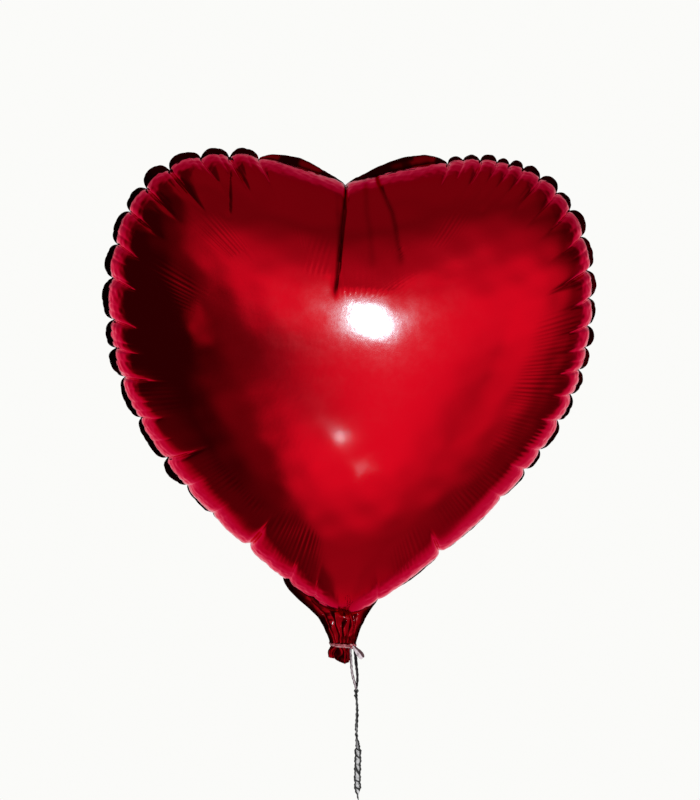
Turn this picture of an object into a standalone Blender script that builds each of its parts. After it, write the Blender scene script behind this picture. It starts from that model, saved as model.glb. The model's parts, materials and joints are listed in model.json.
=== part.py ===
"""Heart-shaped foil balloon, inflated, tied at its neck with a hanging ribbon.

Two heart-shaped films are welded to each other along a narrow flange and swell under gas pressure. They run
down into a short neck, which a ribbon ties shut. Two thin valve films lie inside the neck. Below the tie hang
the neck's open end, called the tail, and the ribbon, which is a chain of flat links with a quarter turn in each.

Metres, +Z up. The front faces -Y. The origin is under the heart's middle, level with the ribbon's lower end.
"""

import math

import bmesh
import bpy
import numpy as np
from mathutils import Vector

# Driving dimensions, in metres.
RIBBON_REACH = 0.325  # from the ribbon's lower end up to the tie
NECK_LENGTH = 0.250  # from the tie up to the heart's middle
HALF_DEPTH = 0.088  # from the weld plane to the crown of a panel
FILM = 0.0006  # thickness that stands for the thin film
WELD_GAP = 0.0003  # between the two panels in the weld flange
FLANGE = 0.0042  # width of the weld flange
FLUTE = 0.0009  # how far the flange's edge waves in and out
PUCKER = 0.0014  # how far the film beside the weld waves with the flange
NECK_HALF_WIDTH = 0.010
NECK_SQUEEZE = 0.40  # share of its free depth that the neck keeps at the tie
SQUEEZE_LENGTH = 0.030  # over which the neck opens out above the tie

RIBBON_WIDTH = 0.005
RIBBON_THICK = 0.0005
LINK_COUNT = 5
LINK_GAP = 0.0008  # between two links, with the hinge axis in its middle
LOOP_DROP = 0.0335  # from the tie knot's centre to the lower knot's centre
TIE_KNOT_RADIUS = 0.0025
LOWER_KNOT_RADIUS = 0.0022
CLEARANCE = 0.0004

TIE_Z = RIBBON_REACH
MIDDLE_Z = TIE_Z + NECK_LENGTH
TIE_KNOT = Vector((0.0058, -0.0116, TIE_Z - 0.0005))
LOWER_KNOT = Vector((0.0096, -0.0116, TIE_KNOT.z - LOOP_DROP))
RIBBON_END = Vector((0.0205, -0.0116, 0.0))
TAIL_HINGE_Z = TIE_Z - 0.0020

# The heart's weld line, right half, seen from the front with its middle at (0, 0): cubic curves, each given
# by its start, two handles and its end. It runs from the cleft over the lobe and down into the neck.
HEART_CURVES = (
    ((0.0, 0.1005), (0.0300, 0.1100), (0.0500, 0.1225), (0.0850, 0.1245)),
    ((0.0850, 0.1245), (0.1500, 0.1280), (0.1845, 0.0880), (0.1835, 0.0120)),
    ((0.1835, 0.0120), (0.1825, -0.0650), (0.1350, -0.1280), (0.0550, -0.1905)),
    ((0.0550, -0.1905), (0.0315, -0.2090), (0.0155, -0.2230), (NECK_HALF_WIDTH, -NECK_LENGTH)),
)
FLUTES = 26  # waves of the flange's edge on each half, from the cleft to the tie
SMOOTH_FLUTES = 3  # the first waves beside the cleft stay smooth, because the film is taut there
MOUTH_STEPS = 4
RINGS = 7
PUCKER_SHARES = (0.8, 1.0, 0.6, 0.25)  # how the puckers fade over the rings inside the weld line
SOLVE_PER_RING = 4  # the dome is solved on a mesh this much finer from rim to middle


def clear_scene():
    for obj in list(bpy.data.objects):
        bpy.data.objects.remove(obj)


def material(name, colour, metallic, roughness):
    made = bpy.data.materials.new(name)
    made.use_nodes = True
    shader = made.node_tree.nodes["Principled BSDF"]
    shader.inputs["Base Color"].default_value = (*colour, 1.0)
    shader.inputs["Metallic"].default_value = metallic
    shader.inputs["Roughness"].default_value = roughness
    return made


def body_empty(name, joint, parent=None):
    """An empty on a joint, which carries the pieces that move with that joint."""
    empty = bpy.data.objects.new(name, None)
    bpy.context.scene.collection.objects.link(empty)
    empty.parent = parent
    empty.location = joint - (parent.matrix_world.translation if parent else Vector())
    bpy.context.view_layer.update()
    return empty


def add_object(name, mesh, look, body):
    """An object whose mesh is given in world places, parented to the empty of its body."""
    mesh.transform(body.matrix_world.inverted())
    mesh.materials.append(look)
    mesh.shade_smooth()
    mesh.set_sharp_from_angle(angle=math.radians(40))
    obj = bpy.data.objects.new(name, mesh)
    bpy.context.scene.collection.objects.link(obj)
    obj.parent = body
    return obj


def mesh_of(name, points, faces):
    mesh = bpy.data.meshes.new(name)
    mesh.from_pydata([tuple(p) for p in points], [], faces)
    return mesh


# ---------------------------------------------------------------- the two panels


def bezier(curve, steps):
    start, first, second, end = (np.array(p) for p in curve)
    t = np.linspace(0, 1, steps, endpoint=False)[:, None]
    return (1 - t) ** 3 * start + 3 * (1 - t) ** 2 * t * first + 3 * (1 - t) * t**2 * second + t**3 * end


def heart_outline():
    """The weld line as (x, z) points with the heart's middle at (0, 0): cleft, right side, mouth, left side."""
    dense = np.vstack([bezier(curve, 200) for curve in HEART_CURVES] + [[HEART_CURVES[-1][-1]]])
    along = np.concatenate([[0], np.cumsum(np.linalg.norm(np.diff(dense, axis=0), axis=1))])
    stops = np.linspace(0, along[-1], 2 * FLUTES + 1)
    right = np.column_stack([np.interp(stops, along, dense[:, k]) for k in (0, 1)])
    mouth_x = np.linspace(NECK_HALF_WIDTH, -NECK_HALF_WIDTH, MOUTH_STEPS + 1)[1:-1]
    mouth = np.column_stack([mouth_x, np.full_like(mouth_x, -NECK_LENGTH)])
    left = right[:0:-1] * (-1, 1)
    return np.vstack([right, mouth, left]), len(right), len(mouth)


def flutes(count, side_count):
    """By outline point: the film's wave, from -1 at a cusp to 1 at a crest, and how free of the tie it is."""
    step = np.arange(count)
    step = np.minimum(step, count - step)
    free_of_tie = np.clip((side_count - 1 - step) / 8, 0, 1)
    wave = np.where(step % 2 == 1, free_of_tie, -free_of_tie)
    wave[step <= 2 * SMOOTH_FLUTES] = 0
    return wave, free_of_tie


def flange_edge(outline, wave, free_of_tie):
    """The flange's outer edge: the weld line moved outwards, waving between cusps and crests."""
    tangent = np.roll(outline, -1, axis=0) - np.roll(outline, 1, axis=0)
    outward = np.column_stack([-tangent[:, 1], tangent[:, 0]])
    outward /= np.linalg.norm(outward, axis=1)[:, None]
    width = FLANGE * (0.2 + 0.8 * free_of_tie) + FLUTE * wave
    return outline + outward * width[:, None]


def ring_mesh(outline, shares):
    """Points and triangles of the flat heart: the outline drawn in towards the middle, ring by ring."""
    count = len(outline)
    points = np.vstack([outline * share for share in shares] + [[(0.0, 0.0)]])
    faces = []
    for ring in range(len(shares) - 1):
        for k in range(count):
            a, b = ring * count + k, ring * count + (k + 1) % count
            faces += [(a, b, b + count), (a, b + count, a + count)]
    last = (len(shares) - 1) * count
    faces += [(last + k, last + (k + 1) % count, len(points) - 1) for k in range(count)]
    return points, np.array(faces)


def film_height(points, faces, held):
    """Height of a stretched film under even pressure, held at some points, by linear triangles."""
    corner = points[faces]
    edge = np.stack([corner[:, 2] - corner[:, 1], corner[:, 0] - corner[:, 2], corner[:, 1] - corner[:, 0]], axis=1)
    area = 0.5 * np.abs(edge[:, 0, 0] * edge[:, 1, 1] - edge[:, 0, 1] * edge[:, 1, 0])
    stiffness = np.zeros((len(points), len(points)))
    load = np.zeros(len(points))
    for i in range(3):
        np.add.at(load, faces[:, i], area / 3)
        for j in range(3):
            pull = (edge[:, i] * edge[:, j]).sum(axis=1) / (4 * area)
            np.add.at(stiffness, (faces[:, i], faces[:, j]), pull)
    free = ~held
    height = np.zeros(len(points))
    height[free] = np.linalg.solve(stiffness[np.ix_(free, free)], load[free])
    return height


def foil_profile(share):
    """Height of a foil balloon's section over its crown, where share is 0 in the middle and 1 at the weld."""
    angle = np.linspace(0, math.pi / 2, 200)
    slope = np.cos(angle) ** 2 / np.sqrt(1 + np.cos(angle) ** 2)
    height = np.concatenate([[0], np.cumsum((slope[1:] + slope[:-1]) / 2 * np.diff(angle))])
    return np.interp(np.arccos(np.clip(share, 0, 1)), angle, height / height[-1])


def dome_points():
    """The front panel's bowl as (x, z, height) points ring by ring, and the flange's edge."""
    outline, side_count, mouth_count = heart_outline()
    angles = np.linspace(0, math.pi / 2, RINGS * SOLVE_PER_RING + 1)[:-1]
    flat, faces = ring_mesh(outline, np.cos(angles))
    held = np.zeros(len(flat), bool)
    held[: len(outline)] = True
    held[side_count : side_count + mouth_count] = False
    film = film_height(flat, faces, held)
    height = HALF_DEPTH * foil_profile(np.sqrt(1 - film / film.max()))
    above_tie = np.clip((flat[:, 1] + NECK_LENGTH) / SQUEEZE_LENGTH, 0, 1)
    height *= NECK_SQUEEZE + (1 - NECK_SQUEEZE) * above_tie**2 * (3 - 2 * above_tie)
    count = len(outline)
    wave, free_of_tie = flutes(count, side_count)
    rows = np.column_stack([flat, height])
    kept = [rows[r * count : (r + 1) * count] for r in range(0, RINGS * SOLVE_PER_RING, SOLVE_PER_RING)]
    for ring, share in enumerate(PUCKER_SHARES, start=1):
        kept[ring][:, 2] += PUCKER * share * wave
    return kept, rows[-1], flange_edge(outline, wave, free_of_tie), side_count, mouth_count


def panel(name, side, look, body):
    """One film: side is -1 for the front and 1 for the back."""
    rings, crown, edge, side_count, mouth_count = dome_points()
    face_y = WELD_GAP / 2 + FILM
    count = len(edge)
    flange = np.column_stack([edge, np.zeros(count)])
    rows = np.vstack([flange, *rings, [crown]])
    points = [(x, side * (face_y + height), MIDDLE_Z + z) for x, z, height in rows]
    faces = []
    for ring in range(len(rings)):
        for k in range(count):
            in_mouth = side_count - 1 <= k < side_count + mouth_count
            if ring == 0 and in_mouth:
                continue
            a, b = ring * count + k, ring * count + (k + 1) % count
            faces.append((a, b, b + count, a + count))
    last = len(rings) * count
    faces += [(last + k, last + (k + 1) % count, len(points) - 1) for k in range(count)]
    mesh = mesh_of(name, points, faces if side > 0 else [f[::-1] for f in faces])
    remove_loose(mesh)
    obj = add_object(name, mesh, look, body)
    shell = obj.modifiers.new("film", "SOLIDIFY")
    shell.thickness = FILM
    shell.offset = -1
    shell.use_even_offset = True
    return obj


def remove_loose(mesh):
    """Drops the points that no face uses, which are the flange's points across the mouth."""
    work = bmesh.new()
    work.from_mesh(mesh)
    bmesh.ops.delete(work, geom=[v for v in work.verts if not v.link_faces], context="VERTS")
    work.to_mesh(mesh)
    work.free()


# ---------------------------------------------------------------- the neck's inner films and tail


def valve_film(name, side, look, body):
    """A flat strip inside the neck: narrow through the tie, wider inside the balloon, with a rounded top."""
    low, high = TIE_Z + 0.0020, TIE_Z + 0.1000
    narrow, wide = 0.0065, 0.0140
    top = [(wide * math.cos(a), high - wide + wide * math.sin(a)) for a in np.linspace(0, math.pi, 9)]
    outline = [(-wide, TIE_Z + 0.0450), (-narrow, low), (narrow, low), (wide, TIE_Z + 0.0450), *top]
    near, far = side * 0.0004, side * 0.0007
    work = bmesh.new()
    face = work.faces.new([work.verts.new((x, near, z)) for x, z in outline])
    grown = bmesh.ops.extrude_face_region(work, geom=[face])
    moved = [v for v in grown["geom"] if isinstance(v, bmesh.types.BMVert)]
    bmesh.ops.translate(work, vec=(0, far - near, 0), verts=moved)
    bmesh.ops.recalc_face_normals(work, faces=work.faces)
    mesh = bpy.data.meshes.new(name)
    work.to_mesh(mesh)
    work.free()
    return add_object(name, mesh, look, body)


def tail_flap(name, side, look, body):
    """One film of the neck's open end below the tie: it flares out and ripples."""
    columns, rows = 9, 6
    top, bottom = TIE_Z - 0.0036, TIE_Z - 0.0150
    points = []
    for i in range(rows):
        down = i / (rows - 1)
        half_width = 0.0068 + 0.0062 * down**0.8
        for k in range(columns):
            across = 2 * k / (columns - 1) - 1
            belly = 0.0008 + (0.0008 + 0.0022 * down) * (1 - across**2)
            ripple = 0.0005 * down * math.cos(3 * math.pi * across)
            points.append((half_width * across, side * (belly + ripple), top + (bottom - top) * down))
    faces = []
    for i in range(rows - 1):
        for k in range(columns - 1):
            a = i * columns + k
            faces.append((a, a + columns, a + columns + 1, a + 1))
    mesh = mesh_of(name, points, faces if side < 0 else [f[::-1] for f in faces])
    obj = add_object(name, mesh, look, body)
    shell = obj.modifiers.new("film", "SOLIDIFY")
    shell.thickness = FILM
    shell.offset = 1
    return obj


# ---------------------------------------------------------------- the ribbon


def swept(name, loops, closed, look, body):
    """A solid skinned over loops of equal length: a closed ring, or a bar with capped ends."""
    count, size = len(loops), len(loops[0])
    points = [p for loop in loops for p in loop]
    faces = []
    for i in range(count if closed else count - 1):
        for k in range(size):
            a, b = i * size + k, i * size + (k + 1) % size
            shift = (i + 1) % count * size - i * size
            faces.append((a, b, b + shift, a + shift))
    if not closed:
        faces += [tuple(range(size))[::-1], tuple(range((count - 1) * size, count * size))]
    mesh = mesh_of(name, points, faces)
    work = bmesh.new()
    work.from_mesh(mesh)
    bmesh.ops.recalc_face_normals(work, faces=work.faces)
    work.to_mesh(mesh)
    work.free()
    return add_object(name, mesh, look, body)


def rectangle(centre, across, through):
    return [centre + across + through, centre - across + through, centre - across - through, centre + across - through]


def ribbon_loops(path, turns, width=RIBBON_WIDTH):
    """Rectangles across a ribbon: its centre at each point of path, its width turned about Z by each angle."""
    loops = []
    for centre, turn in zip(path, turns):
        across = Vector((math.cos(turn), math.sin(turn), 0)) * width / 2
        through = Vector((-math.sin(turn), math.cos(turn), 0)) * RIBBON_THICK / 2
        loops.append(rectangle(centre, across, through))
    return loops


def ribbon_wrap(look, body):
    """The turns of ribbon round the neck: an oval band with rounded edges."""
    inner_x, inner_y = 0.0124, 0.0080
    half_height, thick, middle_z = 0.0021, 0.0011, TIE_Z + 0.0024
    loops = []
    for turn in np.linspace(0, 2 * math.pi, 40, endpoint=False):
        loop = []
        for out, up in ((0, -0.6), (0.3, -1), (0.8, -1), (1, -0.5), (1, 0.5), (0.8, 1), (0.3, 1), (0, 0.6)):
            x = (inner_x + thick * out) * math.cos(turn)
            y = (inner_y + thick * out) * math.sin(turn)
            loop.append((x, y, middle_z + half_height * up))
        loops.append(loop)
    return swept("ribbon_wrap", loops, True, look, body)


def knot(name, centre, radius, look, body):
    work = bmesh.new()
    bmesh.ops.create_icosphere(work, subdivisions=2, radius=radius)
    bmesh.ops.translate(work, vec=centre, verts=work.verts)
    mesh = bpy.data.meshes.new(name)
    work.to_mesh(mesh)
    work.free()
    return add_object(name, mesh, look, body)


def loop_strand(name, side, look, body):
    """One of the two strands between the knots: side is -1 for the left and 1 for the right. They bow apart."""
    start = TIE_KNOT + Vector((side * 0.0012, 0, -(TIE_KNOT_RADIUS + CLEARANCE)))
    end = LOWER_KNOT + Vector((side * 0.0007, 0, LOWER_KNOT_RADIUS + CLEARANCE))
    steps = 9
    path = []
    for k in range(steps):
        share = k / (steps - 1)
        bow = Vector((side * 0.0011 * math.sin(math.pi * share), 0, 0))
        path.append(start.lerp(end, share) + bow)
    turn = math.radians(90 + 14 * side)
    return swept(name, ribbon_loops(path, [turn] * steps, RIBBON_WIDTH * 0.8), False, look, body)


def short_end(look, body):
    """The ribbon's short free end, which leaves the tie knot sideways and curls down."""
    steps = 6
    loops = []
    for k in range(steps):
        share = k / (steps - 1)
        reach = TIE_KNOT_RADIUS + CLEARANCE + 0.0070 * share
        drop = 0.0026 * share**2
        centre = TIE_KNOT + Vector((reach, 0, 0.0004 - drop))
        lean = Vector((0.35 * share, 0, 1)).normalized()
        across = Vector((0, 1, 0)) * RIBBON_WIDTH * 0.4
        through = lean * RIBBON_THICK / 2
        loops.append(rectangle(centre, across, through))
    return swept("ribbon_short_end", loops, False, look, body)


def joint_points():
    """The ends of the ribbon's links, from the lower knot's centre down to the ribbon's lower end."""
    return [LOWER_KNOT.lerp(RIBBON_END, k / LINK_COUNT) for k in range(LINK_COUNT + 1)]


def ribbon_link(number, look, body):
    """One link with a quarter turn, so that at each of its hinges its width lies along the hinge axis."""
    ends = joint_points()
    top, bottom = ends[number - 1], ends[number]
    along = (bottom - top).normalized()
    top = top + along * (LOWER_KNOT_RADIUS + CLEARANCE if number == 1 else LINK_GAP / 2)
    last = number == LINK_COUNT
    bottom = bottom if last else bottom - along * LINK_GAP / 2
    steps = 13
    shares = [k / (steps - 1) for k in range(steps)]
    path = [top.lerp(bottom, share) for share in shares]
    first_turn = math.pi / 2 * number
    flat_from = 0.45  # the last link finishes its turn early, which leaves a flat length to hold
    turns = [first_turn + math.pi / 2 * min(1, share / (flat_from if last else 1)) for share in shares]
    return swept(f"ribbon_link_{number}", ribbon_loops(path, turns), False, look, body)


def main():
    clear_scene()
    red_foil = material("red_foil", (0.62, 0.0, 0.03), 1.0, 0.15)
    clear_film = material("clear_film", (0.85, 0.87, 0.88), 0.0, 0.1)
    silver_ribbon = material("silver_ribbon", (0.62, 0.62, 0.64), 0.6, 0.3)

    envelope = body_empty("envelope", Vector((0, 0, MIDDLE_Z)))
    panel("front_panel", -1, red_foil, envelope)
    panel("back_panel", 1, red_foil, envelope)
    valve_film("valve_front_film", -1, clear_film, envelope)
    valve_film("valve_back_film", 1, clear_film, envelope)
    ribbon_wrap(silver_ribbon, envelope)

    tail = body_empty("tail", Vector((0, 0, TAIL_HINGE_Z)), envelope)
    tail_flap("tail_front_flap", -1, red_foil, tail)
    tail_flap("tail_back_flap", 1, red_foil, tail)

    tie = body_empty("tie", TIE_KNOT, envelope)
    knot("ribbon_tie_knot", TIE_KNOT, TIE_KNOT_RADIUS, silver_ribbon, tie)
    short_end(silver_ribbon, tie)

    loop = body_empty("loop", TIE_KNOT, tie)
    loop_strand("ribbon_loop_left", -1, silver_ribbon, loop)
    loop_strand("ribbon_loop_right", 1, silver_ribbon, loop)

    knot("ribbon_lower_knot", LOWER_KNOT, LOWER_KNOT_RADIUS, silver_ribbon, loop)

    body = loop
    for number, joint in enumerate(joint_points()[:-1], start=1):
        body = body_empty(f"link_{number}", joint, body)
        ribbon_link(number, silver_ribbon, body)


main()
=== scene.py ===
"""Looks of the heart-shaped foil balloon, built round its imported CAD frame.

The envelope is two fine sheets of mirror-red film: a stretched-film dome solved on the heart's seam,
with pleats, ribs and creases raised in the mesh. The neck is gathered into the tie, the tail flares
below it, and a crinkled ribbon hangs from a knot. Metres, +Z up, front towards -Y.
"""

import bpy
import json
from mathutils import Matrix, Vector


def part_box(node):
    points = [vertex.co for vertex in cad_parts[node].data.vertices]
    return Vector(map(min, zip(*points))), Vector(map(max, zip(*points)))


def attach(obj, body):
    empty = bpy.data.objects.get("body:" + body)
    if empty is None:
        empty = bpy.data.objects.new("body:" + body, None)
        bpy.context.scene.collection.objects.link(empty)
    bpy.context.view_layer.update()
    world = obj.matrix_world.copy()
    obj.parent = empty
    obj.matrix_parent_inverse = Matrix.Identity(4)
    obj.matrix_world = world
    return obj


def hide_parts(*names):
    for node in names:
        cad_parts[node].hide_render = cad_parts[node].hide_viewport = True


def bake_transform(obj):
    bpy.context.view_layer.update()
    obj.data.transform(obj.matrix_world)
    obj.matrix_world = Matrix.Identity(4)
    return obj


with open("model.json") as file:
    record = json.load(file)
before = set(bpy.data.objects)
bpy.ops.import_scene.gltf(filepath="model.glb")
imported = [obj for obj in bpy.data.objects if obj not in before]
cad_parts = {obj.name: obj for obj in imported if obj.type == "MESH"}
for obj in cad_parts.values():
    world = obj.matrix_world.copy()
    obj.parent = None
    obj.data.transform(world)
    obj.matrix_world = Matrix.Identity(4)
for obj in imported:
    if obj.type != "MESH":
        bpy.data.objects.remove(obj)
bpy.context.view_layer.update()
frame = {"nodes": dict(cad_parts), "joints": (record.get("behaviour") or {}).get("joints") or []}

import json
import math

import bmesh
import bpy
import numpy as np
from mathutils import Matrix, Vector

SEED = 11
JOINT = {j["name"]: Vector(j["pos_m"]) for j in frame["joints"]}
NECK_END_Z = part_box("front_panel")[0].z
TIE_Z = NECK_END_Z + 0.0004
MIDDLE_Z = TIE_Z + 0.2500
HALF_DEPTH = -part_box("front_panel")[0].y - 0.0010

# ---------------------------------------------------------------- the heart's sheets

AROUND = 1792  # points round the rim
RINGS = 84  # rings from the rim to the hub
HALVE_AT = (26, 50)  # rings where every second point is dropped
SOLVE_AROUND = 448
HUB = np.array([0.0, -0.035])  # where the rings close, under the heart's middle
CLEFT_SHIFT = 0.0058  # the cleft lies this far left of the middle
FLANGE = 0.0062
FLANGE_ROWS = (1.0, 0.72, 0.36, 0.0)  # shares of the flange's width where its rows of points lie
SEAM_GAP = 0.00012  # each film's weld stands this far from the middle plane
NO_AREA = 1e-12  # square metres, under which a face counts as having none
TINY = 1e-12  # keeps a length that is divided by off zero

# The weld line's right half, with the heart's middle at (0, 0), in metres: cleft, lobe, side, blunt tip.
HEART_CURVES = (
    ((0.0, 0.1045), (0.0240, 0.1085), (0.0520, 0.1200), (0.0850, 0.1245)),
    ((0.0850, 0.1245), (0.1500, 0.1280), (0.1845, 0.0880), (0.1835, 0.0120)),
    ((0.1835, 0.0120), (0.1825, -0.0650), (0.1350, -0.1290), (0.0600, -0.1885)),
    ((0.0600, -0.1885), (0.0420, -0.2045), (0.0180, -0.2215), (0.0, -0.2295)),
)


def smooth(low, high, value):
    """0 below low, 1 above high, smooth between."""
    t = np.clip((value - low) / (high - low), 0, 1)
    return t * t * (3 - 2 * t)


def bezier(curve, steps):
    start, first, second, end = (np.array(p) for p in curve)
    t = np.linspace(0, 1, steps, endpoint=False)[:, None]
    return (1 - t) ** 3 * start + 3 * (1 - t) ** 2 * t * first + 3 * (1 - t) * t**2 * second + t**3 * end


def heart_outline(count):
    """The seam's points (x, z) and length, evenly spaced: cleft, right side, tip, left side."""
    right = np.vstack([bezier(curve, 800) for curve in HEART_CURVES] + [[HEART_CURVES[-1][-1]]])
    loop = np.vstack([right, right[-2::-1] * (-1, 1)])
    along = np.concatenate([[0], np.cumsum(np.linalg.norm(np.diff(loop, axis=0), axis=1))])
    stops = np.linspace(0, along[-1], count, endpoint=False)
    rim = np.column_stack([np.interp(stops, along, loop[:, k]) for k in (0, 1)])
    rim[:, 0] -= CLEFT_SHIFT * np.exp(-((wrapped(stops, along[-1]) / 0.045) ** 2))
    return rim, along[-1]


def polar_triangles(count, rings):
    here = np.arange(count)
    beyond = (here + 1) % count
    faces = []
    for ring in range(rings - 1):
        a, b = ring * count + here, ring * count + beyond
        faces += [np.column_stack([a, b, b + count]), np.column_stack([a, b + count, a + count])]
    last = (rings - 1) * count
    faces.append(np.column_stack([last + here, last + beyond, np.full(count, rings * count)]))
    return np.vstack(faces)


def film_height(points, faces, held, start):
    """Height of a stretched film under even pressure, held at the rim.

    Linear triangles, solved by conjugate gradients.
    """
    corner = points[faces]
    edge = np.roll(corner, -2, axis=1) - np.roll(corner, -1, axis=1)
    area = 0.5 * np.abs(edge[:, 0, 0] * edge[:, 1, 1] - edge[:, 0, 1] * edge[:, 1, 0])
    ends, pulls = [], []
    for i, j in ((0, 1), (1, 2), (2, 0)):
        ends.append(faces[:, [i, j]])
        pulls.append(-(edge[:, i] * edge[:, j]).sum(axis=1) / (4 * area))
    ends, pulls = np.vstack(ends), np.concatenate(pulls)
    total = len(points)
    load = np.bincount(faces.ravel(), np.repeat(area / 3, 3), total)
    diagonal = np.bincount(ends.ravel(), np.repeat(pulls, 2), total)

    def pulled(height):
        flow = pulls * (height[ends[:, 0]] - height[ends[:, 1]])
        out = np.bincount(ends[:, 0], flow, total) - np.bincount(ends[:, 1], flow, total)
        out[held] = 0
        return out

    height = np.where(held, 0, start)
    rest = np.where(held, 0, load - pulled(height))
    eased = rest / diagonal
    step, energy = eased, rest @ eased
    first = energy
    for _ in range(3000):
        push = pulled(step)
        length = energy / (step @ push)
        height = height + length * step
        rest = rest - length * push
        eased = rest / diagonal
        before, energy = energy, rest @ eased
        if energy < 1e-14 * first:
            break
        step = eased + energy / before * step
    return height


def foil_profile(share):
    """Height of a foil balloon's section over its crown, where share is 0 in the middle and 1 at the seam."""
    angle = np.linspace(0, math.pi / 2, 2000)
    slope = np.cos(angle) ** 2 / np.sqrt(1 + np.cos(angle) ** 2)
    height = np.concatenate([[0], np.cumsum((slope[1:] + slope[:-1]) / 2 * np.diff(angle))])
    return np.interp(np.arccos(np.clip(share, 0, 1)), angle, height / height[-1])


def finer(rows, times):
    """Rows of a closed loop resampled times as densely, by a cubic through the points."""
    before, after, beyond = (np.roll(rows, k, axis=1) for k in (1, -1, -2))
    out = np.empty((rows.shape[0], rows.shape[1] * times) + rows.shape[2:])
    for k in range(times):
        t = k / times
        out[:, k::times] = 0.5 * (
            2 * rows
            + t * (after - before)
            + t**2 * (2 * before - 5 * rows + 4 * after - beyond)
            + t**3 * (3 * rows - before - 3 * after + beyond)
        )
    return out


def grid_normals(grid):
    """Unit normals of a grid of points that closes on itself along its second axis."""
    across = np.roll(grid, -1, axis=1) - np.roll(grid, 1, axis=1)
    down = np.gradient(grid, axis=0)
    normal = np.cross(down, across)
    return normal / np.maximum(np.linalg.norm(normal, axis=2, keepdims=True), TINY)


def swayed(flat):
    """Points of the flat heart, moved left over the middle: the mesh then runs along the long crease."""
    x, z = flat[:, 0], flat[:, 1]
    sway = 0.0105 * np.exp(-((x / 0.045) ** 2)) * smooth(-0.035, 0.020, z) * (1 - smooth(0.035, 0.100, z))
    return np.column_stack([x - sway, z])


def base_dome():
    """The smooth front dome as a grid of points, ring by ring, and how near the rim each point is."""
    outline, length = heart_outline(SOLVE_AROUND)
    shares = np.cos(np.linspace(0, math.pi / 2, RINGS + 1)[:-1])
    flat = np.vstack([swayed(HUB + (outline - HUB) * share) for share in shares] + [HUB])
    start = np.append(np.repeat((1 - shares**2) * 0.008, SOLVE_AROUND), 0.008)
    held = np.arange(len(flat)) < SOLVE_AROUND
    film = film_height(flat, polar_triangles(SOLVE_AROUND, RINGS), held, start)
    crown = film.max()
    near_rim = np.sqrt(np.clip(1 - film[:-1] / crown, 0, 1)).reshape(RINGS, SOLVE_AROUND)
    near_rim = np.clip(finer(near_rim, AROUND // SOLVE_AROUND), 0, 1)
    near_rim[0] = 1
    outline, _ = heart_outline(AROUND)
    flat = np.stack([swayed(HUB + (outline - HUB) * share) for share in shares])
    forward = -HALF_DEPTH * foil_profile(near_rim)
    return np.stack([flat[:, :, 0], forward, flat[:, :, 1]], axis=2), near_rim, length


def wrapped(offset, length):
    """Offset along a closed line, taken the short way round."""
    return (offset + length / 2) % length - length / 2


# Main pleats: place along the rim from the cleft (right side positive), depth and width of the valley in
# millimetres, and how far in it reaches (1 is the rim, 0 the crown).
PLEATS = (
    (0.000, 1.2, 1.8, 0.90), (0.074, 1.4, 2.2, 0.88), (0.086, 1.0, 2.0, 0.90), (0.099, 1.8, 2.0, 0.86),
    (0.112, 1.2, 2.0, 0.90), (0.122, 1.2, 2.0, 0.88), (0.133, 1.4, 2.0, 0.90), (0.148, 1.8, 2.2, 0.86),
    (0.165, 1.6, 2.2, 0.88), (0.182, 1.8, 2.4, 0.87), (0.204, 1.6, 2.2, 0.90), (0.230, 2.6, 2.0, 0.78),
    (0.252, 1.2, 2.0, 0.90), (0.273, 1.6, 2.0, 0.88), (0.290, 1.0, 2.0, 0.92), (0.308, 1.8, 2.0, 0.86),
    (0.328, 1.4, 2.0, 0.90), (0.350, 1.6, 2.0, 0.88), (0.377, 1.4, 2.0, 0.90), (0.396, 1.6, 2.0, 0.86),
    (0.424, 1.2, 2.0, 0.90), (0.487, 3.0, 1.6, 0.80), (0.548, 0.6, 2.0, 0.92), (-0.548, 0.6, 2.0, 0.92),
    (-0.524, 1.2, 1.8, 0.86), (-0.483, 4.0, 2.2, 0.76), (-0.446, 1.4, 2.0, 0.90), (-0.417, 1.2, 2.0, 0.90),
    (-0.391, 3.0, 1.7, 0.74), (-0.354, 1.4, 2.0, 0.88), (-0.320, 2.0, 1.8, 0.78), (-0.297, 1.2, 2.0, 0.90),
    (-0.275, 2.0, 2.2, 0.84), (-0.243, 1.8, 2.2, 0.84), (-0.217, 1.6, 2.2, 0.88), (-0.190, 2.0, 2.2, 0.84),
    (-0.168, 2.0, 2.4, 0.84), (-0.145, 2.4, 2.2, 0.80), (-0.119, 1.6, 2.2, 0.88), (-0.097, 2.8, 2.2, 0.82),
    (-0.074, 1.4, 2.2, 0.88),
)


def between_pleats(spot, length):
    """The main pleats on either side of each place along the rim, and the share of the way between them."""
    places = np.sort(np.array([p[0] for p in PLEATS]) % length)
    index = np.searchsorted(places, spot, side="right")
    low = np.concatenate([[places[-1] - length], places])[index]
    high = np.concatenate([places, [places[0] + length]])[index]
    return low, high, (spot - low) / (high - low)


def flange_share(spot, length):
    """How much of the welded flange stands out: a web each side of the cleft, round flaps further on."""
    low, high, share = between_pleats(spot, length)
    rng = np.random.default_rng(SEED + 70)
    sizes = rng.uniform(0.70, 1.10, 400)[(high * 1000).astype(int) % 400]
    flap = sizes * np.maximum(4 * share * (1 - share), 0) ** 0.42 * np.clip((high - low) / 0.018, 0.5, 1)
    signed = wrapped(spot, length)
    web = 1.25 * np.maximum(np.sin(math.pi * np.clip(np.abs(signed) / 0.080, 0, 1) ** 1.1), 0) ** 1.1
    flap = np.where(np.abs(signed) < 0.074, np.maximum(web, 0.35 * (np.abs(signed) > 0.06)), flap)
    fade = (1 - smooth(0.400, 0.425, -signed) * 0.5) * (1 - smooth(0.440, 0.455, -signed))
    fade = fade * (1 - smooth(0.385, 0.415, signed) * 0.7)
    return flap * fade * (1 - smooth(length / 2 - 0.06, length / 2 - 0.04, np.abs(signed)))


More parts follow.
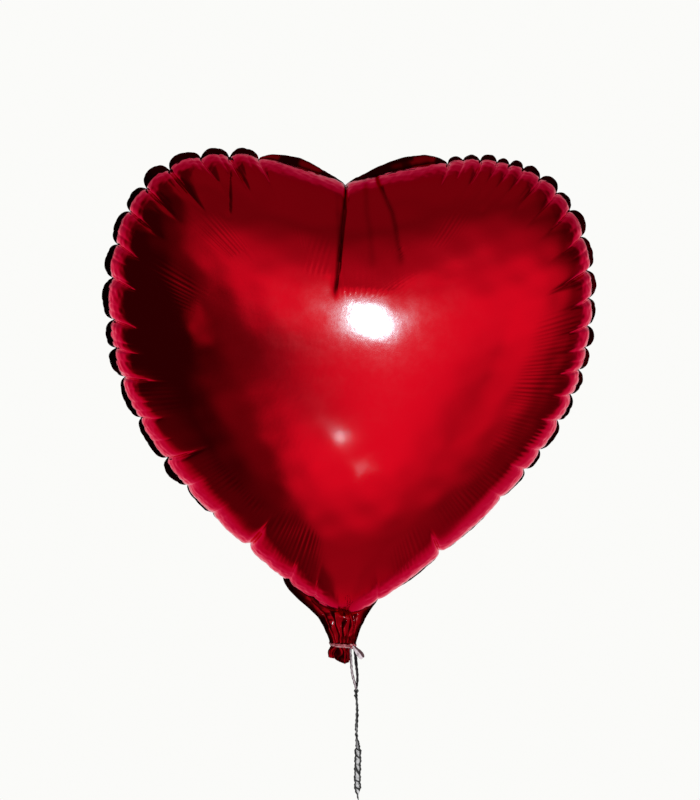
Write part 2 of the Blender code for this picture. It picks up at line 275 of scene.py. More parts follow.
def gores(along, near_rim, length):
    """The film's bulge between neighbouring main pleats: it stands over the seam, and fades inwards."""
    low, high, share = between_pleats(along[0], length)
    bulge = np.minimum(0.085 * (high - low), 0.0022) * np.maximum(4 * share * (1 - share), 0) ** 0.55
    bulge *= 1 - 0.55 * smooth(0.31, 0.40, np.abs(wrapped(along[0], length)))
    return bulge * smooth(0.82, 0.96, near_rim)


def small_pleats(length):
    """Short pleats between the main ones, near the rim only."""
    rng = np.random.default_rng(SEED + 1)
    count = int(length / 0.0076)
    places = (np.arange(count) + rng.uniform(-0.33, 0.33, count)) * length / count
    near_cleft = np.abs(wrapped(places, length)) < 0.066
    near_tip = np.abs(wrapped(places - length / 2, length)) < 0.050
    low_right = (places > 0.40) & (places < 0.54)
    depth = rng.uniform(0.0002, 0.0008, count)
    depth[near_cleft | near_tip | low_right] *= 0.15
    return list(zip(places, depth, rng.uniform(0.0014, 0.0024, count), rng.uniform(0.86, 0.95, count)))


def crease(offset, near_rim, depth, width, reach):
    """A sharp valley with soft shoulders that fades towards the crown at reach."""
    strength = smooth(reach, reach + 0.6 * (1 - reach) + 0.03, near_rim)
    width = width * (0.30 + 0.70 * strength)
    away = np.sqrt((offset / width) ** 2 + 0.04) - 0.2
    return -depth * strength * np.exp(-away)


def soft_noise(seed, count, size, points):
    """Smooth seeded noise of about one unit: a sum of waves in random directions, of about the given size."""
    rng = np.random.default_rng(seed)
    total = np.zeros(points.shape[:-1])
    for _ in range(count):
        direction = rng.normal(size=3)
        direction /= np.linalg.norm(direction)
        turn = 2 * math.pi / (size * rng.uniform(0.7, 1.5))
        total += np.sin(points @ direction * turn + rng.uniform(0, 2 * math.pi))
    return total / math.sqrt(count / 2)


# Patches of fine ribs on the front: place along the rim, spread, how near the rim, strength.
RIBS = (
    (0.105, 0.014, 0.74, 0.5), (0.270, 0.020, 0.84, 0.8), (0.315, 0.026, 0.80, 1.0),
    (0.372, 0.026, 0.84, 0.9), (0.430, 0.040, 0.84, 0.9), (0.512, 0.018, 0.86, 0.6),
    (-0.512, 0.026, 0.84, 1.0), (-0.440, 0.034, 0.86, 0.8), (-0.330, 0.020, 0.86, 0.3),
    (-0.225, 0.016, 0.76, 0.7), (-0.150, 0.014, 0.72, 0.7), (-0.050, 0.020, 0.66, 0.3),
)


def rib_patch(along, near_rim, length, side):
    """Fine parallel ribs square to the rim, in patches between the pleats."""
    pitch = 0.0041
    warp = 0.0010 * np.sin(2 * math.pi * along / 0.031 + 1.3)
    wave = np.cos(2 * math.pi * (along + warp) / pitch)
    mask = np.zeros_like(near_rim)
    for place, spread, middle, amount in RIBS:
        place = place if side < 0 else -place + 0.02
        around = np.exp(-((wrapped(along - place, length) / spread) ** 4))
        inward = np.exp(-(((near_rim - middle) / 0.10) ** 4))
        mask = np.maximum(mask, amount * around * inward)
    return wave * mask


def shaped_panel(side):
    """The front (-1) or back (1) film as a grid of points in place. Its first rows are the flange."""
    grid, near_rim, length = base_dome()
    rng = np.random.default_rng(SEED + 20 + side)
    along = np.broadcast_to(np.arange(AROUND) * length / AROUND, near_rim.shape)
    rise = np.zeros_like(near_rim)
    for place, depth, width, reach in PLEATS:
        own_reach = reach if side < 0 else reach + rng.uniform(-0.10, 0.06)
        slant = rng.uniform(-0.008, 0.008)
        offset = wrapped(along - place, length) - slant * (1 - near_rim)
        rise += crease(offset, near_rim, depth / 1000, width / 1000, own_reach)
    rise += gores(along, near_rim, length)
    for place, depth, width, reach in small_pleats(length):
        rise += crease(wrapped(along - place, length), near_rim, depth, width, reach)
    rise += 0.00016 * rib_patch(along, near_rim, length, side)
    calm = smooth(0.008, 0.024, np.abs(wrapped(along - length / 2, length)))
    rise += 0.00010 * soft_noise(SEED + 9 * side, 16, 0.006, grid) * smooth(0.90, 0.97, near_rim) * calm
    rise += cleft_creases(grid, side)
    rise += 0.0007 * soft_noise(SEED + 5 * side, 14, 0.10, grid) * (1 - smooth(0.7, 1.0, near_rim))
    rise += 0.00012 * soft_noise(SEED + 7 * side, 14, 0.024, grid) * smooth(0.2, 0.8, near_rim)
    normal = grid_normals(grid)
    normal[0, :, 1] = 0
    normal[0] /= np.linalg.norm(normal[0], axis=1)[:, None]
    shaped = grid + normal * rise[:, :, None]
    shaped[0, :, 1] = 0
    outward = normal[0]
    flap = FLANGE * flange_share(along[0], length)
    flap *= 1 + 0.40 * smooth(0.010, 0.030, shaped[0, :, 0]) * (1 - smooth(0.050, 0.075, shaped[0, :, 0]))
    lean = 0.66 + 0.10 * soft_noise(SEED + 31, 10, 0.030, grid[:1])[0]
    rows = []
    for share in FLANGE_ROWS:
        row = shaped[0] + outward * (flap * share * np.cos(lean))[:, None]
        row[:, 1] = flap * share * np.sin(lean) + side * SEAM_GAP
        rows.append(row)
    shaped[0, :, 1] = side * SEAM_GAP
    shaped[1:, :, 1] *= -side
    shaped = np.concatenate([np.array(rows), shaped])
    shaped[:, :, 2] += MIDDLE_Z
    return shaped


# Long creases under the cleft: height over the heart's middle and place across at the top, the middle and the
# foot, then depth and width, in millimetres.
CLEFT_CREASES = (
    ((104, -6.2), (74, -10.3), (21, -15.8), 2.2, 1.2),
    ((106, 17.3), (84, 27.0), (46, 34.5), 1.0, 1.8),
    ((84, 8.0), (70, 10.4), (44, 12.6), 0.35, 1.8),
    ((122, -94.0), (104, -94.6), (78, -95.0), 1.7, 1.5),
    ((118, 93.0), (104, 94.0), (86, 95.0), 0.9, 1.6),
)


# Painted shade down inside the first of those creases: how dark the film is painted there, and how far from
# the fold that reaches.
CREASE_SHADOWS = ((0.97, 1.25), (0.62, 1.6), (0.22, 2.2))


def crease_path(height, *knots):
    """Place across of a long crease at each height, through knots of height and place from the foot up."""
    return np.interp(height, [k[0] for k in knots], [k[1] for k in knots])


def cleft_creases(grid, side):
    """Long creases that hang from the cleft, and the gathered film between them, ending in a fringe."""
    x, z = -side * grid[:, :, 0] * 1000, grid[:, :, 2] * 1000
    total = np.zeros_like(x)
    for top, middle, foot, depth, width in CLEFT_CREASES:
        path = crease_path(z, foot, middle, top)
        span = top[0] - foot[0]
        strength = smooth(foot[0] - 1, foot[0] + 0.18 * span, z) * (z < top[0] + 12)
        strength = strength * (1 - 0.4 * smooth(top[0] - 0.3 * span, top[0], z))
        side_width = width * np.where(x < path, 1.8, 0.8)
        away = np.sqrt(((x - path) / side_width) ** 2 + 0.01) - 0.10
        total -= depth * strength * np.exp(-away)
    upper = 1 - smooth(84, 106, z)
    over = np.maximum(z - 28.5 + 0.12 * np.maximum(x - 4, 0), 0)
    total -= 1.1 * (1 - np.exp(-over / 9)) * smooth(-17, -11, x) * (1 - smooth(24, 44, x)) * upper
    total -= 2.8 * (1 - np.exp(-((over / 34) ** 2))) * np.exp(-((x / 75) ** 2)) * upper
    left = smooth(-42, -32, x) * (1 - smooth(-22, -16, x)) * smooth(36, 44, z) * (1 - smooth(54, 70, z))
    right = smooth(-14, -11, x) * (1 - smooth(30, 48, x)) * smooth(25, 28, z)
    right = right * (1 - 0.75 * smooth(32, 50, z)) * (1 - smooth(60, 98, z))
    ribs = 0.26 * right * np.cos(2 * math.pi * (x + 0.05 * (z - 28)) / 4.3)
    ribs += 0.12 * left * np.cos(2 * math.pi * (x - 0.28 * (z - 28)) / 4.3)
    return (total + ribs) / 1000


def stitch(upper, lower):
    """Faces between two closed rows of point numbers, where the lower has as many points or half."""
    beyond = np.roll(lower, -1)
    if len(upper) == len(lower):
        kinds = [[upper, np.roll(upper, -1), beyond, lower]]
    else:
        even, odd = upper[0::2], upper[1::2]
        kinds = [[even, odd, lower], [odd, beyond, lower], [odd, np.roll(even, -1), beyond]]
    return [tuple(face) for kind in kinds for face in np.column_stack(kind).tolist()]


def placed(name, data):
    """A new object in the scene."""
    obj = bpy.data.objects.new(name, data)
    bpy.context.scene.collection.objects.link(obj)
    return obj


def make_object(name, points, faces, look, body=None, stands_for=()):
    mesh = bpy.data.meshes.new(name)
    mesh.from_pydata([tuple(p) for p in points], [], faces)
    mesh.materials.append(look)
    mesh.shade_smooth()
    obj = placed(name, mesh)
    if body:
        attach(obj, body)
    if stands_for:
        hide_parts(*stands_for)
    return obj


def point_values(obj, name, values):
    """Keeps one value per point, for the material to read."""
    obj.data.attributes.new(name, "FLOAT", "POINT").data.foreach_set("value", values)


def drop_flat_faces(mesh):
    """Removes faces without area, which the flange has where it runs out, and the points only they used."""
    work = bmesh.new()
    work.from_mesh(mesh)
    flat = [face for face in work.faces if face.calc_area() < NO_AREA]
    bmesh.ops.delete(work, geom=flat, context="FACES")
    work.to_mesh(mesh)
    work.free()


def panel_mesh(side):
    """Points and faces of one film, with fewer points round the inner rings."""
    grid = shaped_panel(side)
    points, rows, step, total = [], [], 1, 0
    extra = len(grid) - RINGS
    for ring, row in enumerate(grid):
        if ring - extra in HALVE_AT:
            step *= 2
        kept = row[::step]
        rows.append(np.arange(total, total + len(kept)))
        points.append(kept)
        total += len(kept)
    crown = np.array([[HUB[0], grid[-1][:, 1].mean() + side * 0.00002, MIDDLE_Z + HUB[1]]])
    points.append(crown)
    faces = []
    for ring, (upper, lower) in enumerate(zip(rows, rows[1:]), start=1):
        if ring != extra:  # the fold at the weld stays sharp
            faces += stitch(upper, lower)
    last = rows[-1]
    faces += [(a, b, total) for a, b in zip(last.tolist(), np.roll(last, -1).tolist())]
    # Turned over on the front, so that both films face outward.
    return np.vstack(points), [f[::side] for f in faces]


# ---------------------------------------------------------------- the neck

# Height over the heart's middle, reach to the left, reach to the right, half depth.
NECK_SECTIONS = (
    (-0.1850, 0.0490, 0.0470, 0.0100), (-0.1950, 0.0488, 0.0430, 0.0110), (-0.2020, 0.0478, 0.0370, 0.0110),
    (-0.2090, 0.0432, 0.0305, 0.0100), (-0.2160, 0.0365, 0.0250, 0.0090), (-0.2230, 0.0280, 0.0205, 0.0085),
    (-0.2300, 0.0205, 0.0162, 0.0092), (-0.2370, 0.0163, 0.0130, 0.0090), (-0.2430, 0.0134, 0.0110, 0.0078),
    (-0.2470, 0.0118, 0.0098, 0.0066), (-0.2504, 0.0110, 0.0092, 0.0060),
)
NECK_COLUMNS = 151
NECK_LEAN = -0.0009  # the gathered end sits a little left of the middle


def fold_depth(turn, down, folds):
    """Depth of the gathers at places round the neck: sharp valleys that wander as they run down."""
    total = np.zeros(np.broadcast(turn, down).shape)
    for middle, depth, sway, width, start in folds:
        path = middle + sway * np.sin(2.4 * math.pi * down + 3 * middle)
        away = np.sqrt(((turn - path) / (width * (1.25 - 0.5 * down))) ** 2 + 0.03) - 0.17
        total += depth * smooth(start, start + 0.3, down) * np.exp(-away)
    return total


def crumple(seed, size, points):
    """Crisp folds in crushed film, up to about 1: they run where smooth noise changes sign."""
    return 1 - np.abs(soft_noise(seed, 8, size, points)) * 1.1


def neck_mesh(side):
    """One half of the gathered neck, from its left edge to its right, with folds that run into the tie."""
    rng = np.random.default_rng(SEED + 40 + side)
    columns, rows = NECK_COLUMNS, 80
    table = np.array(NECK_SECTIONS)
    z = np.linspace(table[0, 0], table[-1, 0], rows)
    reach = np.column_stack([np.interp(-z, -table[:, 0], table[:, k]) for k in (1, 2, 3)])
    for _ in range(3):
        reach[1:-1] = (reach[:-2] + 2 * reach[1:-1] + reach[2:]) / 4
    left, right, half_depth = reach.T
    turn = np.linspace(0, math.pi, columns)[None, :]
    down = np.linspace(0, 1, rows)[:, None]
    folds = []
    for k in range(9):
        middle = (k + rng.uniform(0.1, 0.9)) * math.pi / 9
        start = rng.choice([0.0, 0.0, 0.3, 0.5])
        folds.append((middle, rng.uniform(0.3, 1.2), rng.uniform(-0.2, 0.2), rng.uniform(0.05, 0.16), start))
    x = (right - left)[:, None] / 2 - (right + left)[:, None] / 2 * np.cos(turn)
    y = half_depth[:, None] * np.maximum(np.sin(turn), 0) ** 0.8
    out = np.stack([x, y], axis=2)
    out /= np.maximum(np.linalg.norm(out, axis=2, keepdims=True), 1e-9)
    points = np.stack([x, side * y, MIDDLE_Z + np.broadcast_to(z[:, None], x.shape)], axis=2)
    edge = np.maximum(np.sin(turn), 0) ** 0.4
    loose = smooth(0.05, 0.3, down) * (1 - 0.75 * smooth(0.75, 1.0, down))
    inward = (0.0013 + 0.0008 * loose) * fold_depth(turn, down, folds)
    inward = inward - loose * (0.0013 * crumple(SEED + 50 + side, 0.020, points) - 0.0006)
    inward = inward - loose * 0.0005 * crumple(SEED + 60 + side, 0.008, points)
    inward = inward * edge
    points[:, :, 0] -= out[:, :, 0] * inward
    points[:, :, 1] = side * (np.maximum(y - out[:, :, 1] * inward, 0.0001 * edge) + 0.00001)
    here = np.arange(rows * columns).reshape(rows, columns)
    quads = np.stack([here[:-1, :-1], here[1:, :-1], here[1:, 1:], here[:-1, 1:]], axis=2).reshape(-1, 4)
    # Turned over on the back, so that both halves face outward.
    return points.reshape(-1, 3), [tuple(q[::-side]) for q in quads.tolist()]


def film_panel(name, side, look, stands_for):
    """One whole film, half of the heart and of the neck. Painted shade darkens its flange and creases, and
    the neck less.
    """
    heart_points, heart_faces = panel_mesh(side)
    neck_points, neck_faces = neck_mesh(side)
    shift = len(heart_points)
    faces = heart_faces + [tuple(v + shift for v in f) for f in neck_faces]
    points = np.vstack([heart_points, neck_points])
    panel = make_object(name, points, faces, look, "envelope", stands_for)
    # Painted shade, kept on the points for the material: 0 leaves the film bright, 1 paints it dark.
    painted_shade = np.zeros(len(points), dtype=np.float32)
    across, up = -side * heart_points[:, 0] * 1000, (heart_points[:, 2] - MIDDLE_Z) * 1000
    # Painted shade down in the long creases under the cleft.
    for (top, middle, foot, _, _), (darkness, width) in zip(CLEFT_CREASES, CREASE_SHADOWS):
        near = np.exp(-(((across - crease_path(up, foot, middle, top)) / width) ** 2))
        near = darkness * near * smooth(foot[0], foot[0] + 8, up) * (up < 116)
        painted_shade[:shift] = np.maximum(painted_shade[:shift], near)
    # Painted shade: the whole flange is painted dark.
    painted_shade[: len(FLANGE_ROWS) * AROUND] = 1
    # On the flange's middle rows beside the cleft, the painted shade is lifted in patches.
    web = slice(AROUND, (len(FLANGE_ROWS) - 1) * AROUND)
    beside = smooth(4, 12, np.abs(across[web])) * (1 - smooth(70, 85, np.abs(across[web]))) * (up[web] > 0)
    painted_shade[web] -= 0.62 * beside * smooth(-0.4, 0.9, soft_noise(SEED + 33, 8, 0.020, heart_points[web]))
    # Painted shade on the neck, darker towards its left and right edges.
    sideways = np.abs(np.cos(np.linspace(0, math.pi, NECK_COLUMNS)))
    painted_shade[shift:] = np.tile(0.58 + 0.40 * smooth(0.60, 0.95, sideways), len(neck_points) // NECK_COLUMNS)
    point_values(panel, "painted_shade", painted_shade)
    drop_flat_faces(panel.data)
    return panel


def tube_faces(rows, columns):
    """Quads between rows of points that each close on themselves."""
    here = np.arange(rows * columns).reshape(rows, columns)
    beyond = np.roll(here, -1, axis=1)
    quads = np.stack([here[:-1], here[1:], beyond[1:], beyond[:-1]], axis=2).reshape(-1, 4)
    return [tuple(q) for q in quads.tolist()]


# ---------------------------------------------------------------- the tail

# The tail's hem from left to right: place across and height under the tie, in millimetres.
TAIL_HEM = (
    (-12.4, -10.4), (-8.0, -11.8), (-2.0, -14.2), (2.4, -15.6), (4.4, -13.8), (6.0, -11.4), (7.0, -9.6),
)


def tail_mesh():
    """The open end of the neck below the tie: both films flare out, folded and crushed."""
    columns, rows = 181, 44
    turn = np.linspace(0, 2 * math.pi, columns, endpoint=False)[None, :]
    down = np.linspace(0, 1, rows)[:, None]
    flare = smooth(0.05, 0.75, down)
    hem = np.array(TAIL_HEM) / 1000
    across = -np.cos(turn)
    low_x = np.where(across < 0, -across * hem[0, 0], across * hem[-1, 0])
    low_z = np.interp(low_x, hem[:, 0], hem[:, 1])
    x = across * 0.0088 * (1 - flare) + low_x * flare + NECK_LEAN
    deep = 0.0052 * (1 - flare) + (0.0036 + 0.0012 * np.cos(3 * turn)) * flare
    y = -deep * np.sin(turn)
    top = NECK_END_Z + 0.0006
    z = top + (TIE_Z + low_z - top) * down
    points = np.stack([x, y, z], axis=2)
    out = np.stack([across + 0 * down, -np.sin(turn) + 0 * down, np.zeros_like(x)], axis=2)
    rng = np.random.default_rng(SEED + 80)
    folds = [
        (k * math.pi / 7.5 + rng.uniform(0, 0.3), rng.uniform(0.4, 1.2), rng.uniform(-0.2, 0.2), 0.10, -0.3)
        for k in range(15)
    ]
    inward = 0.0012 * fold_depth(turn, down, folds) - 0.0010 * flare * crumple(SEED + 81, 0.009, points)
    points -= out * inward[:, :, None]
    return points.reshape(-1, 3), tube_faces(rows, columns)


def tail(look):
    points, faces = tail_mesh()
    stands_for = ["tail_front_flap", "tail_back_flap"]
    piece = make_object("foil_tail", points, faces, look, None, stands_for)
    shell = piece.modifiers.new("film", "SOLIDIFY")
    shell.thickness = 0.0002
    shell.offset = 0
    # Painted shade: the whole tail is painted fairly dark, like the neck.
    point_values(piece, "painted_shade", np.full(len(points), 0.62))
    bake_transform(piece)


# ---------------------------------------------------------------- the ribbon


def unit(rows):
    return rows / np.maximum(np.linalg.norm(rows, axis=1, keepdims=True), TINY)


def strip_mesh(path, across, half_width, seed, crimp=0.00020, curl=0.0005, ruffle=1.0, bars=0.0):
    """A thin crinkled ribbon along path, its width along across.

    Returns points, faces and how near its edge each point is.
    """
    columns, thick = 9, 0.00024
    u = np.linspace(-1, 1, columns)[None, :]
    along = unit(np.gradient(path, axis=0))
    across = unit(across - along * (across * along).sum(axis=1, keepdims=True))
    through = np.cross(along, across)
    run = np.concatenate([[0], np.cumsum(np.linalg.norm(np.diff(path, axis=0), axis=1))])[:, None]
    a, b, c, d = np.random.default_rng(seed).uniform(0, 2 * math.pi, 4)
    beat = run / 0.0031 + 0.35 * np.sin(run * 420 + a)
    out = crimp * np.sin(2 * math.pi * beat + 0.9 * u + b) * (0.6 + 0.4 * np.sin(run * 250 + c))
    out = out + curl * (u**2 - 0.4) * np.sin(run * 190 + d)
    out = out + 0.0003 * ruffle * u**3 * np.sin(run * 1500 + a)
    lean = run / 0.0084 + 0.30 * u + 0.25 * np.sin(run * 260 + b)
    fold = bars * np.exp(-(((lean - np.round(lean)) / 0.13) ** 2))
    out = out + 0.0005 * fold
    wave = 0.09 * np.sin(run * 900 + c) + 0.07 * np.sin(run * 2100 + b)
    width = half_width[:, None] * (1 + ruffle * wave)
    middle = path[:, None, :] + across[:, None, :] * (width * u)[:, :, None]
    upper = middle + through[:, None, :] * (out + thick / 2)[:, :, None]
    lower = middle + through[:, None, :] * (out - thick / 2)[:, :, None]
    loops = np.concatenate([upper, lower[:, ::-1]], axis=1)
    rows, size = loops.shape[:2]
    faces = tube_faces(rows, size)
    for first, step in ((0, 1), ((rows - 1) * size, -1)):
        for k in range(columns - 1):
            cap = (first + k, first + k + 1, first + size - 2 - k, first + size - 1 - k)
            faces.append(cap[::step])
    # Painted shade follows these marks: the ribbon's edges and the folds across it.
    upper_edge = np.maximum(np.abs(u), fold)
    near_edge = np.concatenate([upper_edge, upper_edge[:, ::-1]], axis=1)
    return loops.reshape(-1, 3), faces, near_edge.reshape(-1)


def ribbon_piece(name, parts, look, body, stands_for):
    """A piece made of ribbon parts. How near its edge each point is stays on the points."""
    points, faces, edges = [], [], []
    for part_points, part_faces, near_edge in parts:
        shift = sum(len(p) for p in points)
        faces += [tuple(v + shift for v in f) for f in part_faces]
        points.append(part_points)
        edges.append(near_edge)
    piece = make_object(name, np.vstack(points), faces, look, body, stands_for)
    point_values(piece, "edge", np.concatenate(edges))
    return piece


def knot_mesh(centre, size, seed):
    """A pulled-tight knot: a flattened tube that follows a trefoil."""
    steps, size_round = 96, 14
    t = np.linspace(0, 2 * math.pi, steps, endpoint=False)
    line = np.column_stack(
        [(np.sin(t) + 2 * np.sin(2 * t)) / 3, (np.cos(t) - 2 * np.cos(2 * t)) / 3.4, -np.sin(3 * t) / 2.2]
    )
    line = line[:, [0, 2, 1]] * size
    along = unit(np.roll(line, -1, axis=0) - np.roll(line, 1, axis=0))
    first = unit(np.cross(along, line + (0, 1e-6, 0)))
    second = np.cross(along, first)
    swell = 1 + 0.18 * np.sin(5 * t + seed)[:, None]
    ring = np.linspace(0, 2 * math.pi, size_round, endpoint=False)[None, :]
    wide, flat = 0.52 * size * swell * np.cos(ring), 0.26 * size * swell * np.sin(ring)
    points = line[:, None, :] + first[:, None, :] * wide[:, :, None] + second[:, None, :] * flat[:, :, None]
    here = np.arange(steps * size_round).reshape(steps, size_round)
    below, beyond = np.roll(here, -1, axis=0), np.roll(here, -1, axis=1)
    corner = np.roll(below, -1, axis=1)
    faces = np.stack([here, beyond, corner, below], axis=2).reshape(-1, 4).tolist()
    # Painted shade at the flattened tube's two sides.
    near_edge = np.abs(np.cos(ring)) ** 2 * np.ones((steps, 1))
    return points.reshape(-1, 3) + np.array(centre), [tuple(f) for f in faces], near_edge.reshape(-1)


def turned(angles):
    """Directions across the ribbon, turned about the vertical."""
    return np.column_stack([np.cos(angles), np.sin(angles), np.zeros_like(angles)])


def tie_wrap(look):
    """Two tight turns of ribbon round the gathered neck, rolled into cords."""
    turn = np.linspace(-2.2, 2.2 * math.pi * 2 - 2.2, 260)
    share = np.linspace(0, 1, len(turn))
    reach_x, reach_y = 0.0103 + 0.0002 * np.sin(5 * turn), 0.0068 + 0.0002 * np.sin(4 * turn)
    height = NECK_END_Z - 0.0016 + 0.0015 * share + 0.0002 * np.sin(3 * turn)
    height = height - 0.06 * (reach_x * np.cos(turn))
    path = np.column_stack([reach_x * np.cos(turn) + NECK_LEAN, reach_y * np.sin(turn), height])
    lean = np.column_stack([0.35 * np.cos(turn), 0.35 * np.sin(turn), np.ones_like(turn)])
    wrap = strip_mesh(path, unit(lean), np.full(len(turn), 0.00085), SEED + 90, crimp=0.00008, curl=0.0002)
    tag_turn = np.linspace(0, 1, 30)[:, None]
    start, end = path[64], np.array(JOINT["knot_roll"]) + (0, 0.0012, -0.0004)
    tag_path = start + (end - start) * tag_turn
    tag = strip_mesh(tag_path, np.tile((0.1, 0, 1), (30, 1)), np.full(30, 0.0009), SEED + 91)
    ribbon_piece("tie_wrap", [wrap, tag], look, "envelope", ["ribbon_wrap"])


def tie_knot(look):
    knot = knot_mesh(JOINT["knot_roll"], 0.0019, 1.0)
    ribbon_piece("tie_knot", [knot], look, "tie", ["ribbon_tie_knot"])


def short_end(look):
    """The ribbon's short free end, which slants down to the right in front of where the loop swings."""
    share = np.linspace(0, 1, 40)[:, None]
    start = np.array(JOINT["knot_roll"]) + (0.0004, -0.0014, 0.0004)
    forward = -0.0022 * smooth(0, 0.35, share)
    path = start + np.concatenate([0.0078 * share, forward, -0.0088 * share**1.2], axis=1)
    slant = np.interp(share[:, 0], [0, 0.5, 1], [0.9, 0.75, 0.35])
    across = np.column_stack([np.sin(slant), np.full(40, 0.25), np.cos(slant)])
    half = 0.0009 + 0.0017 * np.sin(math.pi * share[:, 0] * 0.62) - 0.0009 * smooth(0.85, 1.0, share[:, 0])
    shape = {"crimp": 0.00008, "curl": 0.0004, "ruffle": 0.3}
    points, faces, near_edge = strip_mesh(path, across, half, SEED + 92, **shape)
    # Painted shade: one half of the width, towards the upper right, is marked fully dark, the rest only
    # faintly at its edges.
    outer = (points - np.repeat(path, len(points) // len(path), axis=0)) @ np.array([0.6, 0, 0.8]) > 0.0004
    near_edge = np.where(outer, 1.0, 0.25 * near_edge)
    ribbon_piece("short_end", [(points, faces, near_edge)], look, "tie", ["ribbon_short_end"])


def loop_strand(name, side, look, node):
    """One strand of the loop between the knots, seen nearly edge-on."""
    share = np.linspace(0, 1, 70)[:, None]
    start = np.array(JOINT["knot_roll"]) + (side * 0.0010, 0, -0.0008)
    end = np.array(JOINT["link_1_swing"]) + (side * 0.0004, 0, 0.0002)
    bow = side * 0.0013 * np.sin(math.pi * share**0.8) + 0.0003 * np.sin(9 * share + side)
    path = start + (end - start) * share + np.concatenate([bow, 0 * share, 0 * share], axis=1)
    angles = np.radians(90 + 32 * side + 6 * np.sin(5 * share[:, 0] + side))
    half = np.full(70, 0.0019) * (1 - 0.45 * np.abs(2 * share[:, 0] - 1) ** 3)
    strip = strip_mesh(path, turned(angles), half, SEED + 95 + side, crimp=0.00005, curl=0.0002, ruffle=0.4)
    ribbon_piece(name, [strip], look, "loop", [node])


def ribbon_strands(look, dark_look):
    """The hanging ribbon, in lengths that run from the middle of one link to the middle of the next."""
    stops = np.array([JOINT[f"link_{k}_swing"] for k in range(1, 6)])
    stops = np.vstack([stops, 2 * stops[-1] - stops[-2]])
    for number in range(1, 6):
        low, high = max(number - 1.5, 0.012), 5.0 if number == 5 else number - 0.5
        place = np.linspace(low, high, int((high - low) * 110))
        path = np.column_stack([np.interp(place, np.arange(6), stops[:, k]) for k in range(3)])
        whole = np.floor(place)
        twist = whole + smooth(0.45, 0.95, place - whole)
        twist = np.where(place < 1, 0.22 + 0.78 * smooth(0.66, 0.93, place), twist)
        twist = np.where((place >= 1) & (place < 2), 1 + smooth(0.30, 0.46, place - 1), twist)
        twist = np.where(place > 4, 4 + smooth(0.0, 0.45, place - 4), twist)
        path[:, 0] += 0.00035 * np.sin(place * 9) * smooth(0, 0.1, place) * (1 - smooth(4.5, 4.8, place))
        half = 0.0026 * (0.80 + 0.20 * smooth(0.1, 0.4, place)) * (1 - 0.35 * (1 - smooth(0.0, 0.05, place)))
        angles = math.pi / 2 * (1 + twist)
        # The first length, by the knot, takes the copy painted dim for shade.
        if number == 1:
            strip = strip_mesh(path, turned(angles), half, SEED + 100, crimp=0.00010, ruffle=0.6)
            lump = knot_mesh(JOINT["link_1_swing"] - Vector((0.0002, 0, 0.0050)), 0.0013, 4.0)
            ribbon_piece("ribbon_strand_1", [strip, lump], dark_look, "link_1", ["ribbon_link_1"])
            continue
        strip = strip_mesh(path, turned(angles), half, SEED + 100, bars=1.0)
        piece = ribbon_piece(f"ribbon_strand_{number}", [strip], look, None, [f"ribbon_link_{number}"])
        along = stops[number] - stops[number - 2]
        along = along / np.linalg.norm(along)
        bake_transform(piece)


# ---------------------------------------------------------------- node helpers


class Nodes:
    """A short way to add linked nodes to a material's or the world's tree."""

    def __init__(self, tree):
        self.tree = tree
        self.tree.nodes.clear()

    def add(self, kind, values=None, links=None, **settings):
        node = self.tree.nodes.new(kind)
        for key, value in settings.items():
            setattr(node, key, value)
        for key, value in (values or {}).items():
            node.inputs[key].default_value = value
        for key, source in (links or {}).items():
            self.tree.links.new(source, node.inputs[key])
        return node

    def math(self, operation, *items):
        node = self.tree.nodes.new("ShaderNodeMath")
        node.operation = operation
        for slot, item in enumerate(items):
            if isinstance(item, (int, float)):
                node.inputs[slot].default_value = item
            else:
                self.tree.links.new(item, node.inputs[slot])
        return node.outputs[0]

    def noise(self, where, scale, detail, **more):
        node = self.add("ShaderNodeTexNoise", {"Scale": scale, "Detail": detail, **more}, {"Vector": where})
        return node.outputs["Fac"]

    def bump(self, strength, distance, height):
        node = self.add("ShaderNodeBump", {"Strength": strength, "Distance": distance}, {"Height": height})
        return node.outputs["Normal"]

    def surface(self, values, links):
        shader = self.add("ShaderNodeBsdfPrincipled", values, links)
        self.add("ShaderNodeOutputMaterial", links={"Surface": shader.outputs[0]})

    def mix(self, share, first, second):
        """A blend of two colours, each a tuple or a link."""
        node = self.add("ShaderNodeMix", links={"Factor": share}, data_type="RGBA")
        for slot, item in ((6, first), (7, second)):
            if isinstance(item, tuple):
                node.inputs[slot].default_value = (*item, 1)
            else:
                self.tree.links.new(item, node.inputs[slot])
        return node.outputs[2]

    def smoothstep(self, value, low, high, out_low=0.0, out_high=1.0):
        node = self.tree.nodes.new("ShaderNodeMapRange")
        node.interpolation_type = "SMOOTHSTEP"
        self.tree.links.new(value, node.inputs["Value"])
        for key, number in (("From Min", low), ("From Max", high), ("To Min", out_low), ("To Max", out_high)):
            node.inputs[key].default_value = number
        return node.outputs["Result"]


def new_material(name):
    """A material, its nodes, and the place on the object as a link."""
    made = bpy.data.materials.new(name)
    made.use_nodes = True
    nodes = Nodes(made.node_tree)
    return made, nodes, nodes.add("ShaderNodeTexCoord").outputs["Object"]


